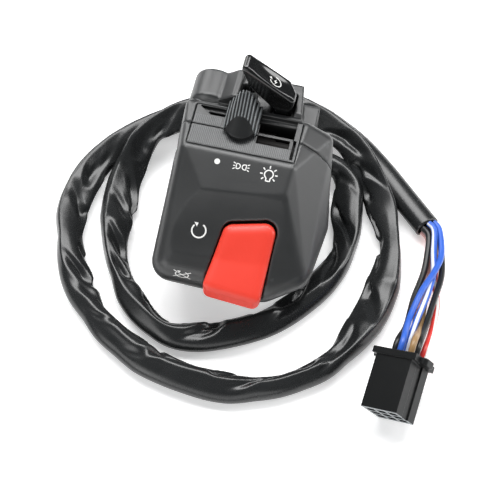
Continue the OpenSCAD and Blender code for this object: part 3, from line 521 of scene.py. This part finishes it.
# sleeve: route in mm as in the part's source, then width seen at distances along it
sleeveSet = {
    "route": [
        (24.5, 20, -11.5), (25.5, 20, -11.5), (29, 19.2, -12.2), (32.4, 16.9, -13.5), (34.7, 13.5, -14.6),
        (35.4, 9.5, -15.3), (36.4, 2.5, -15.5), (38, -7.1, -15.5), (36.5, -19.1, -15.5),
        (29, -33.6, -15.5), (19, -45.6, -15.5), (6, -54.1, -15.5), (-8, -58.6, -15.5), (-19, -57.1, -15.5),
        (-30, -48.6, -15.5), (-39, -35.1, -15.5), (-43, -20.1, -15.5), (-45, -5.1, -15.5),
        (-44.4, 3.6, -15), (-43.2, 8.8, -12.7), (-41.2, 12.9, -10.1), (-36.5, 18.9, -8.3),
        (-29.5, 25.4, -7.5), (-18, 31.9, -7.5), (-5, 35.9, -7.5), (8, 37.9, -7.5), (20, 35.4, -9),
        (28, 30.9, -9), (34, 26.4, -9), (39.8, 20.1, -10.5), (45.5, 11.9, -14), (50.5, 1.9, -15.5),
        (54, -11.1, -15.5), (53.5, -26.1, -15.5), (49.5, -42.1, -15.5), (41, -57.6, -15.5),
        (28, -68.1, -15.5), (12, -73.6, -15.5), (-5, -73.1, -15.5), (-21.5, -69.1, -15.5),
        (-36, -61.1, -15.5), (-47.5, -49.6, -15.5), (-55.5, -35.6, -15.5), (-59.5, -19.6, -15.5),
        (-58.2, -4.1, -15.5), (-53.6, 7.6, -15.5), (-47, 16.4, -15.5), (-37.2, 25.6, -15.5),
        (-25, 34.4, -15.5), (-11, 41.4, -15.5), (4, 43.9, -15.5), (18, 42.4, -15.5), (29, 36.9, -15.5),
        (37, 31.4, -15.5), (46, 23.4, -15.5), (55, 14.4, -15.5), (65.4, 3.6, -15)],
    "widths": [
        (0, 7.6), (8, 8.2), (16, 10.6), (24, 10.6), (32, 9.2), (40, 8.2), (48, 9.2), (56, 10.2), (72, 9.8),
        (88, 9.5), (104, 9.8), (112, 9.2), (120, 7.4), (128, 8.6), (136, 8.8), (144, 6.2), (152, 7.2),
        (160, 9.6), (168, 12.2), (176, 12.6), (184, 11.8), (192, 10.6), (200, 10.0), (208, 9.6),
        (224, 9.2), (250, 8.4), (280, 9.0), (296, 9.6), (304, 10.2), (312, 10.8), (320, 8.2), (328, 7.0),
        (336, 9.0), (344, 11.8), (352, 12.0), (360, 11.6), (368, 9.8), (376, 7.2), (384, 7.8), (392, 6.9),
        (400, 7.6), (408, 7.6), (416, 9.6), (424, 10.4), (440, 10.6), (448, 11.2), (456, 9.6), (464, 9.8),
        (472, 8.3), (480, 10.4), (488, 10.6), (496, 9.8), (504, 8.2), (512, 10.8), (520, 11.4),
        (528, 11.0), (536, 9.8), (544, 8.8), (552, 8.6), (568, 8.8), (600, 8.6), (632, 9.0), (650, 9.3),
        (700, 9.3)],
    "loop": 9.35, "thinnest": 4.7, "thickest": 7.6,
    "ringStep": 0.8, "around": 56, "widthBlur": (1, 2, 3, 2, 1), "heightBlur": 45,
    "smoothFrom": 632, "wall": 0.6, "mouth": 17,
    "cadDiameter": 8.0, "declared": 10.0, "tableGap": 0.02,
    # the crumpling starts and ends softly
    "calmFrom": 4, "calmRise": 12, "calmFall": 25,
    # the crest lies to the outside, and to the inside on the runs nearest the camera
    "lean": 0.6, "leanNear": 0.85, "nearFrom": 0.3, "nearRise": 0.6,
    "crestTurn": 60, "crestDrift": 20, "driftLength": 45, "driftPlace": 3.7,
    "ridgeWidth": 0.26, "ridgeHeight": 0.5,
    # the inside of a bend buckles into pockets, and the outside is taut
    "slack": (0.25, 0.85, 0.35),  # everywhere, inwards, upwards
    "pocketLength": 9, "pocketRound": (0.9, 1.3), "pocketPlace": 9.1,
    "pocketFrom": 0.02, "pocketRise": 0.4, "pocketPower": 1.2, "pocketDepth": 2.3,
    "swellLength": 17, "swellRound": 0.9, "swellPlace": 11, "swellTaut": 0.2, "swellSlack": 0.9,
    "fullness": 0.25,
}


def smoothLine(points, step, cuts=30):
    p = np.asarray(points, float)
    p = np.vstack([2 * p[0] - p[1], p, 2 * p[-1] - p[-2]])
    line = []
    for i in range(1, len(p) - 2):
        a, b, c, d = p[i - 1:i + 3]
        for t in np.linspace(0, 1, cuts, endpoint=False):
            second = (2 * a - 5 * b + 4 * c - d) * t * t
            third = (3 * b - a - 3 * c + d) * t ** 3
            line.append(0.5 * (2 * b + (c - a) * t + second + third))
    line = np.array(line + [p[-2]])
    walked = np.concatenate([[0], np.cumsum(np.linalg.norm(np.diff(line, axis=0), axis=1))])
    marks = np.linspace(0, walked[-1], max(3, int(round(walked[-1] / step)) + 1))
    return np.stack([np.interp(marks, walked, line[:, k]) for k in range(3)], axis=1), marks


def held(value):
    return min(1.0, max(0.0, value))


def ringBand(first, second, count):  # quads between two rings of points
    return [(first + k, first + (k + 1) % count, second + (k + 1) % count, second + k) for k in range(count)]


def blurred(values, weights):
    return np.convolve(np.pad(values, len(weights) // 2, mode="edge"), weights / weights.sum(), mode="valid")


def sleeveMesh(p):
    line, marks = smoothLine(p["route"], p["ringStep"])
    widths = np.interp(marks, [w[0] for w in p["widths"]], [w[1] for w in p["widths"]])
    widths = blurred(widths, np.array(p["widthBlur"], float))
    eased = blurred(widths, np.hanning(p["heightBlur"]))
    heights = np.clip(np.sqrt(np.maximum(2 * p["loop"] ** 2 - eased ** 2, 0)), p["thinnest"], p["thickest"])
    line[:, 2] += (heights - p["cadDiameter"]) / 2
    tangents = np.gradient(line, axis=0)
    tangents /= np.linalg.norm(tangents, axis=1)[:, None]
    sides = np.cross(tangents, (0, 0, 1))
    sides /= np.linalg.norm(sides, axis=1)[:, None]
    rises = np.cross(sides, tangents)
    verts = []
    for s, centre, w, h, side, rise in zip(marks, line, widths, heights, sides, rises):
        calm = held((p["smoothFrom"] - s) / p["calmFall"]) * held((s - p["calmFrom"]) / p["calmRise"])
        near = held((side[1] - p["nearFrom"]) / p["nearRise"])
        lean = calm * (p["lean"] - p["leanNear"] * near * near * (3 - 2 * near))
        drift = noise.noise((s / p["driftLength"], p["driftPlace"], 0))
        ridgeAt = math.radians(90 + p["crestTurn"] * lean + p["crestDrift"] * drift)
        for k in range(p["around"]):
            a = 2 * math.pi * k / p["around"]
            inward, upward = math.cos(a), math.sin(a)
            slack = held(p["slack"][0] + p["slack"][1] * inward + p["slack"][2] * upward)
            ridge = math.exp(-((a - ridgeAt) / p["ridgeWidth"]) ** 2)
            spread = p["pocketRound"]
            pocket = noise.noise((s / p["pocketLength"] + spread[0] * inward, spread[1] * upward,
                                  p["pocketPlace"]))
            pocket = held((pocket - p["pocketFrom"]) / p["pocketRise"]) ** p["pocketPower"]
            swell = noise.noise((inward * p["swellRound"], upward * p["swellRound"],
                                 s / p["swellLength"] + p["swellPlace"]))
            push = calm * (p["ridgeHeight"] * ridge - p["pocketDepth"] * slack * pocket
                           + (p["swellTaut"] + p["swellSlack"] * slack) * swell + p["fullness"])
            x, y = (w / 2 + push) * inward, (h / 2 + push) * upward
            y *= 1 - lean * inward if y > 0 else 1
            spot = centre + side * x + rise * y
            spot[2] = max(spot[2], tableZ / mm + p["tableGap"])
            verts.append(spot)
    count, last = p["around"], len(line) - 1
    faces = []
    for i in range(last):
        faces += ringBand(i * count, (i + 1) * count, count)
    faces.append(tuple(reversed(range(count))))
    # cut mouth: the wall turns in at the end and runs back inside
    inner = len(verts)
    for i in range(last, last - p["mouth"], -1):
        for k in range(count):
            out = verts[i * count + k] - line[i]
            verts.append(line[i] + out * (1 - p["wall"] / max(1.0, np.linalg.norm(out))))
    faces += ringBand(last * count, inner, count)
    for i in range(p["mouth"] - 1):
        faces += ringBand(inner + i * count, inner + (i + 1) * count, count)
    end = inner + (p["mouth"] - 1) * count
    faces.append(tuple(end + k for k in range(count)))
    mesh = bpy.data.meshes.new("sleeve")
    mesh.from_pydata([tuple(v * mm) for v in verts], [], faces)
    shape = bmesh.new()
    shape.from_mesh(mesh)
    bmesh.ops.recalc_face_normals(shape, faces=shape.faces)
    shape.to_mesh(mesh)
    shape.free()
    mesh.shade_smooth()
    return mesh, line * mm, marks[-1] * mm


sleeveShape, sleeveLine, sleeveLength = sleeveMesh(sleeveSet)
sleeve = newPiece("vinylSleeve", sleeveShape, finishes["sleeve"], "housing", "sleeve", "cable_sleeve")
[tuple(v) for v in sleeveLine[::2]] + [tuple(sleeveLine[-1])]
print("sleeve", round(sleeveLength, 3), "m")

# wires: one Geometry Nodes tree draws a tube along a curve and keeps its way round and along for stripes
wireSet = {
    "radius": 1.1, "step": 0.9, "pathStep": 1.0, "ringPoints": 14,
    "runs": {
        "wire_brown": [
            (65.61, 3.38, -14.99), (68.17, 0.72, -14.87), (69.9, -8.8, -14.6), (70.2, -17.2, -13.9),
            (68.9, -28.2, -11.6), (68.7, -40.1, -8.4), (67.0, -50.39, 1.13), (66.44, -56.17, -0.37)],
        "wire_black": [
            (63.92, 1.82, -13.67), (66.44, -0.89, -13.66), (67.06, -9.03, -13.71), (66.83, -16.87, -13.7),
            (65.04, -27.9, -12.44), (64.08, -40.04, -9.97), (61.99, -48.08, -5.91), (61.43, -53.86, -7.41)],
        "wire_blue": [
            (67.23, 5.01, -13.67), (69.74, 2.3, -13.42), (71.8, -8.46, -12.0), (70.4, -16.7, -10.1),
            (66.9, -27.3, -7.7), (64.43, -39.28, -6.2), (63.52, -49.58, -0.67), (62.97, -55.37, -2.18)],
        "wire_white_blue": [
            (65.55, 3.45, -12.34), (68.01, 0.69, -12.22), (69.09, -8.69, -11.9), (70.2, -16.9, -11.6),
            (69.2, -27.5, -8.9), (66.9, -39.6, -6.0), (65.46, -48.88, -4.1), (64.91, -54.66, -5.6)],
        "wire_grey": [
            (67.29, 4.94, -16.31), (69.9, 2.33, -16.07), (72.54, -8.57, -15.29), (73.17, -17.33, -13.7),
            (71.76, -28.3, -10.56), (70.32, -40.16, -7.03), (68.94, -49.69, -2.29), (68.38, -55.47, -3.8)],
        "wire_red": [
            (65.67, 3.32, -17.64), (68.33, 0.75, -17.51), (70.51, -8.91, -17.27), (71.56, -17.64, -16.42),
            (73.2, -28.8, -12.6), (72.6, -40.9, -8.9), (71.4, -48.98, -5.3), (70.33, -54.76, -7.22)],
        "wire_pink": [
            (63.99, 1.76, -16.31), (66.61, -0.86, -16.31), (67.77, -9.14, -16.48), (68.38, -17.41, -16.42),
            (67.47, -28.74, -14.81), (66.86, -40.86, -11.84), (67.41, -48.18, -7.53),
            (66.85, -53.96, -9.03)],
    },
}
blueTones = ((0.025, 0.105, 0.52, 1), (0.04, 0.15, 0.66, 1))
blueStripe = {"turns": 0.25, "share": 0.17, "tint": (0.80, 0.82, 0.86, 1)}
redStripe = {"turns": 0.4, "share": 0.16, "tint": (0.80, 0.78, 0.76, 1)}
wireSkins = {  # slot and finish of each wire
    "wire_black": ("wire_black", wireSkin("wireBlack", grey(0.006), grey(0.014))),
    "wire_blue": ("wire_blue", wireSkin("wireBlue", *blueTones)),
    "wire_white_blue": ("wire_white", wireSkin("wireWhiteBlue", *blueTones, blueStripe)),
    "wire_brown": ("wire_brown", wireSkin("wireTan", (0.26, 0.15, 0.06, 1), (0.40, 0.25, 0.11, 1))),
    "wire_grey": ("wire_black", wireSkin("wireBlackSecond", grey(0.008), grey(0.02))),
    "wire_red": ("wire_red", wireSkin("wireRed", (0.60, 0.03, 0.025, 1), (0.78, 0.06, 0.05, 1), redStripe)),
    "wire_pink": ("wire_pink", wireSkin("wirePink", (0.70, 0.36, 0.35, 1), (0.82, 0.50, 0.48, 1))),
}


def startTree(name, inputs, output):
    tree = bpy.data.node_groups.new(name, "GeometryNodeTree")
    for label, kind in inputs.items():
        tree.interface.new_socket(label, in_out="INPUT", socket_type="NodeSocket" + kind)
    tree.interface.new_socket(output, in_out="OUTPUT", socket_type="NodeSocketGeometry")
    return tree, tree.nodes.new("NodeGroupInput")


def endTree(tree, given, grown):  # instances become real meshes, then take the skin
    add, link = tree.nodes.new, tree.links.new
    realise, paint = add("GeometryNodeRealizeInstances"), add("GeometryNodeSetMaterial")
    link(grown, realise.inputs["Geometry"])
    link(realise.outputs["Geometry"], paint.inputs["Geometry"])
    link(given.outputs["Skin"], paint.inputs["Material"])
    link(paint.outputs["Geometry"], add("NodeGroupOutput").inputs[0])
    return tree


def wireTree(p):
    inputs = {"Curve": "Geometry", "Radius": "Float", "Step": "Float", "Skin": "Material"}
    tree, given = startTree("wireAlongCurve", inputs, "Wire")
    add, link = tree.nodes.new, tree.links.new
    resample = add("GeometryNodeResampleCurve")
    resample.mode = "LENGTH"
    link(given.outputs["Curve"], resample.inputs["Curve"])
    link(given.outputs["Step"], resample.inputs["Length"])
    along, around = add("GeometryNodeSplineParameter"), add("GeometryNodeSplineParameter")
    keepAlong, keepAround = add("GeometryNodeStoreNamedAttribute"), add("GeometryNodeStoreNamedAttribute")
    for keep, name, value in ((keepAlong, "wireAlong", along), (keepAround, "wireAround", around)):
        keep.data_type, keep.domain = "FLOAT", "POINT"
        keep.inputs["Name"].default_value = name
        link(value.outputs["Factor"], keep.inputs["Value"])
    ring = add("GeometryNodeCurvePrimitiveCircle")
    ring.inputs["Resolution"].default_value = p["ringPoints"]
    link(given.outputs["Radius"], ring.inputs["Radius"])
    link(resample.outputs["Curve"], keepAlong.inputs["Geometry"])
    link(ring.outputs["Curve"], keepAround.inputs["Geometry"])
    sweep = add("GeometryNodeCurveToMesh")
    sweep.inputs["Fill Caps"].default_value = True
    link(keepAlong.outputs["Geometry"], sweep.inputs["Curve"])
    link(keepAround.outputs["Geometry"], sweep.inputs["Profile Curve"])
    return endTree(tree, given, sweep.outputs["Mesh"])


def grown(work, tree, values):
    grow = work.modifiers.new("grow", "NODES")
    grow.node_group = tree
    for item in tree.interface.items_tree:
        if item.item_type == "SOCKET" and item.in_out == "INPUT" and item.name in values:
            grow[item.identifier] = values[item.name]
    return solved(work)


def grownAlong(name, tree, points, values):
    curve = bpy.data.curves.new(name, "CURVE")
    curve.dimensions = "3D"
    spline = curve.splines.new("POLY")
    spline.points.add(len(points) - 1)
    for point, spot in zip(spline.points, points):
        point.co = (*spot, 1)
    return grown(linked(name + "Work", curve), tree, values)


wireGrowth = wireTree(wireSet)
for nodeName, run in wireSet["runs"].items():
    line, marks = smoothLine(run, wireSet["pathStep"])
    slot, skin = wireSkins[nodeName]
    inputs = {"Radius": wireSet["radius"] * mm, "Step": wireSet["step"] * mm, "Skin": skin}
    mesh = grownAlong(nodeName, wireGrowth, line * mm, inputs)
    mesh.shade_smooth()
    wire = newPiece(nodeName.replace("wire_", "lead_"), mesh, None, "housing", slot, nodeName)
print("wires", len(wireSet["runs"]))

# return spring under the plunger: round wire on a helix
springSet = {"turns": 4, "wire": 0.4, "steps": 24, "slack": 0.03}


def springMesh(p, low, high):
    wire = p["wire"] * mm
    middle, reach = (low + high) / 2, (high[0] - low[0] - wire) / 2
    turn = np.linspace(0, 2 * math.pi * p["turns"], p["turns"] * p["steps"] + 1)
    rise = np.linspace(low[2] + wire / 2, high[2] - wire / 2 - p["slack"] * mm, len(turn))
    helix = np.stack([middle[0] + reach * np.cos(turn), middle[1] + reach * np.sin(turn), rise], axis=1)
    inputs = {"Radius": wire / 2, "Step": wire / 2, "Skin": finishes["steel"]}
    mesh = grownAlong("returnSpring", wireGrowth, helix, inputs)
    mesh.shade_smooth()
    return mesh


springLow, springHigh = [np.array(corner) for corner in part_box("start_spring")]
joints = {joint["name"]: joint for joint in frame["record"]["behaviour"]["joints"]}
springTravel = joints["plunger_slide"]["range_m"][1]
springShape = springMesh(springSet, springLow, springHigh)
returnSpring = newPiece("returnSpring", springShape, None, "housing", "steel", "start_spring")
1 - springTravel / (springHigh[2] - springLow[2])
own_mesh(returnSpring)
print("return spring", round((springHigh[2] - springLow[2]) / mm, 2), "mm")

# painted signs: strokes in mm on a flat sheet, dropped square to the panel they sit on
signPaint = {"arcStep": 12, "wing": 0.75, "cut": 0.35, "above": 6, "reach": 20, "lift": 0.05, "thick": 0.09}


def arcLine(radius, start, stop, centre=(0, 0), squeeze=1.0):
    count = max(4, int(abs(stop - start) / signPaint["arcStep"]))
    turns = [math.radians(angle) for angle in np.linspace(start, stop, count + 1)]
    return [(centre[0] + squeeze * radius * math.cos(a), centre[1] + radius * math.sin(a)) for a in turns]


def arrowHead(radius, angle, size):
    a = math.radians(angle)
    tip, out = (-math.sin(a), math.cos(a)), (math.cos(a), math.sin(a))
    mid = (radius * out[0], radius * out[1])
    wing = signPaint["wing"] * size
    return [(mid[0] - size * tip[0], mid[1] - size * tip[1]),
            (mid[0] + wing * out[0], mid[1] + wing * out[1]),
            (mid[0] - wing * out[0], mid[1] - wing * out[1])]


lampShape = [(-1.65, -0.85), (-1.65, 0.85)] + arcLine(0.85, 90, -90, (-1.1, 0), 0.9) + [(-1.65, -0.85)]
bulbRays = [[(2.05 * math.cos(a), 2.05 * math.sin(a)), (2.95 * math.cos(a), 2.95 * math.sin(a))]
            for a in [math.radians(d) for d in (-40, 0, 42, 90, 138, 180, 220)]]
symbolPanel = {"on": "rearShell", "normal": (0, -0.33, 0.944), "across": (1, 0, 0)}
signSet = [
    {"name": "signDot", **symbolPanel, "centre": (-8.17, -12.9, 24.9),
     "pen": 0.4, "lines": [], "fills": [arcLine(0.95, 0, 345)]},
    {"name": "signParking", **symbolPanel, "centre": (0.03, -13.14, 24.9),
     "pen": 0.32, "fills": [],
     "lines": [lampShape, [(-x, y) for x, y in lampShape]]
     + [[(side * 2.05, 0.8 * row), (side * 2.75, 1.15 * row)] for side in (-1, 1) for row in (-1, 0, 1)]},
    {"name": "signBulb", **symbolPanel, "centre": (9.49, -13.88, 24.7),
     "pen": 0.42, "fills": [],
     "lines": [arcLine(1.45, -62, 242), [(-0.68, -1.3), (-0.68, -2.3), (0.68, -2.3), (0.68, -1.3)]]
     + bulbRays},
    {"name": "signRun", "on": "rearShell", "normal": (0, -0.52, 0.853), "across": (1, 0, 0),
     "centre": (-9.5, -33.37, 13.25),
     "pen": 0.5, "lines": [arcLine(2.35, 62, -222)], "fills": [arrowHead(2.35, 128, 1.15)]},
    {"name": "signOff", "on": "rearShell", "normal": (0, -0.866, 0.5), "across": (1, 0, 0),
     "centre": (-12.18, -46.23, 4.75), "pen": 0.36, "flat": 0.52,
     "lines": [arcLine(2.2, 62, -222), [(-2.9, -2.3), (2.9, 2.3)], [(-2.9, 2.3), (2.9, -2.3)]],
     "fills": [arrowHead(2.2, 128, 1.0)]},
    {"name": "signStart", "on": "thumbPaddle", "normal": (0.62, 0, 0.785), "across": (0.785, 0, -0.62),
     "centre": (5.4, 13.6, 38.2), "pen": 0.38, "flat": 0.74,
     "lines": [arcLine(2.2, 100, -170)],
     "fills": [arrowHead(2.2, 172, 1.0),
               [(0.25, 1.45), (-0.75, -0.15), (-0.05, -0.15), (-0.35, -1.45), (0.75, 0.25), (0.0, 0.25)]]},
]


def signMesh(p, surface):
    centre, normal = Vector(p["centre"]), Vector(p["normal"]).normalized()
    across = Vector(p["across"])
    across = (across - normal * across.dot(normal)).normalized()
    upward = normal.cross(across)
    shape = bmesh.new()

    def drop(u, v):
        start = (centre + across * u + upward * v * p.get("flat", 1) + normal * signPaint["above"]) * mm
        spot, face, _, _ = surface.ray_cast(start, -normal, signPaint["reach"] * mm)
        return (spot + face * signPaint["lift"] * mm) if spot else None

    def patch(corners):
        spots = [drop(*c) for c in corners]
        if all(spots) and len(spots) > 2:
            shape.faces.new([shape.verts.new(q) for q in spots])

    for line in p["lines"]:
        fine = [line[0]]
        for a, b in zip(line, line[1:]):
            cuts = max(1, int(math.dist(a, b) / signPaint["cut"]))
            fine += [(a[0] + (b[0] - a[0]) * t / cuts, a[1] + (b[1] - a[1]) * t / cuts)
                     for t in range(1, cuts + 1)]
        half, edges = p["pen"] / 2, []
        for i, q in enumerate(fine):
            a, b = fine[max(0, i - 1)], fine[min(len(fine) - 1, i + 1)]
            run = math.dist(a, b) or 1
            side = (-(b[1] - a[1]) / run * half, (b[0] - a[0]) / run * half)
            edges.append(((q[0] + side[0], q[1] + side[1]), (q[0] - side[0], q[1] - side[1])))
        for (a, b), (c, d) in zip(edges, edges[1:]):
            patch([a, b, d, c])
    for fill in p["fills"]:
        middle = (sum(q[0] for q in fill) / len(fill), sum(q[1] for q in fill) / len(fill))
        for a, b in zip(fill, fill[1:] + fill[:1]):
            patch([middle, a, b])
    bmesh.ops.remove_doubles(shape, verts=shape.verts, dist=2e-6)
    for face in shape.faces:
        face.normal_update()
        if face.normal.dot(normal) < 0:
            face.normal_flip()
    bmesh.ops.solidify(shape, geom=shape.faces[:], thickness=signPaint["thick"] * mm)
    mesh = bpy.data.meshes.new(p["name"])
    shape.to_mesh(mesh)
    shape.free()
    return mesh


bodyOf = {"rearShell": ("housing", "housing"), "thumbPaddle": ("paddle_unit", "paddle")}
surfaces = {}
for sign in signSet:
    host = pieces[sign["on"]]
    if sign["on"] not in surfaces:
        corners = [v.co for v in host.data.vertices]
        surfaces[sign["on"]] = BVHTree.FromPolygons(corners, [f.vertices for f in host.data.polygons])
    mesh = signMesh(sign, surfaces[sign["on"]])
    newPiece(sign["name"], mesh, finishes["paint"], *bodyOf[sign["on"]])
print("signs painted:", len(signSet))

# fine ribs of the cover plate: one Geometry Nodes tree lays bars on a line of points
coverRibs = {
    "pitch": 0.62, "width": 0.3, "height": 0.3, "top": 25.64,
    "smallest": (0.8, 0.98, 0.6), "largest": (1.2, 1.0, 1.0), "seed": 7,
    "fields": [  # left end, right end, near, far
        (-19.3, 2.2, -7.7, -0.45), (-19.3, -10.4, 0.45, 3.9), (3.0, 14.4, -7.7, -3.4)],
}


def ribTree(p):
    inputs = {"Count": "Int", "Start": "Vector", "Step": "Vector", "Bar": "Vector", "Skin": "Material"}
    tree, given = startTree("ribsOnLine", inputs, "Ribs")
    add, link = tree.nodes.new, tree.links.new
    row, bar, lay = [add("GeometryNode" + kind) for kind in ("MeshLine", "MeshCube", "InstanceOnPoints")]
    link(given.outputs["Count"], row.inputs["Count"])
    link(given.outputs["Start"], row.inputs["Start Location"])
    link(given.outputs["Step"], row.inputs["Offset"])
    link(given.outputs["Bar"], bar.inputs["Size"])
    link(row.outputs["Mesh"], lay.inputs["Points"])
    link(bar.outputs["Mesh"], lay.inputs["Instance"])
    jitter = add("FunctionNodeRandomValue")
    jitter.data_type = "FLOAT_VECTOR"
    jitter.inputs["Min"].default_value = p["smallest"]
    jitter.inputs["Max"].default_value = p["largest"]
    jitter.inputs["Seed"].default_value = p["seed"]
    link(jitter.outputs["Value"], lay.inputs["Scale"])
    return endTree(tree, given, lay.outputs["Instances"])


def growRibs(p):
    tree, joined = ribTree(p), bmesh.new()
    for left, right, near, far in p["fields"]:
        work = linked("ribWork", bpy.data.meshes.new("ribWork"))
        start = (left * mm, (near + far) / 2 * mm, p["top"] * mm)
        bar = (p["width"] * mm, (far - near) * mm, p["height"] * mm)
        inputs = {"Count": int((right - left) / p["pitch"]) + 1, "Start": start,
                  "Step": (p["pitch"] * mm, 0, 0), "Bar": bar, "Skin": finishes["ribsPaintedLighter"]}
        joined.from_mesh(grown(work, tree, inputs))
    mesh = bpy.data.meshes.new("coverRibs")
    joined.to_mesh(mesh)
    joined.free()
    return mesh


newPiece("coverRibs", growRibs(coverRibs), finishes["ribsPaintedLighter"], "housing", "housing")
print("cover ribs laid")
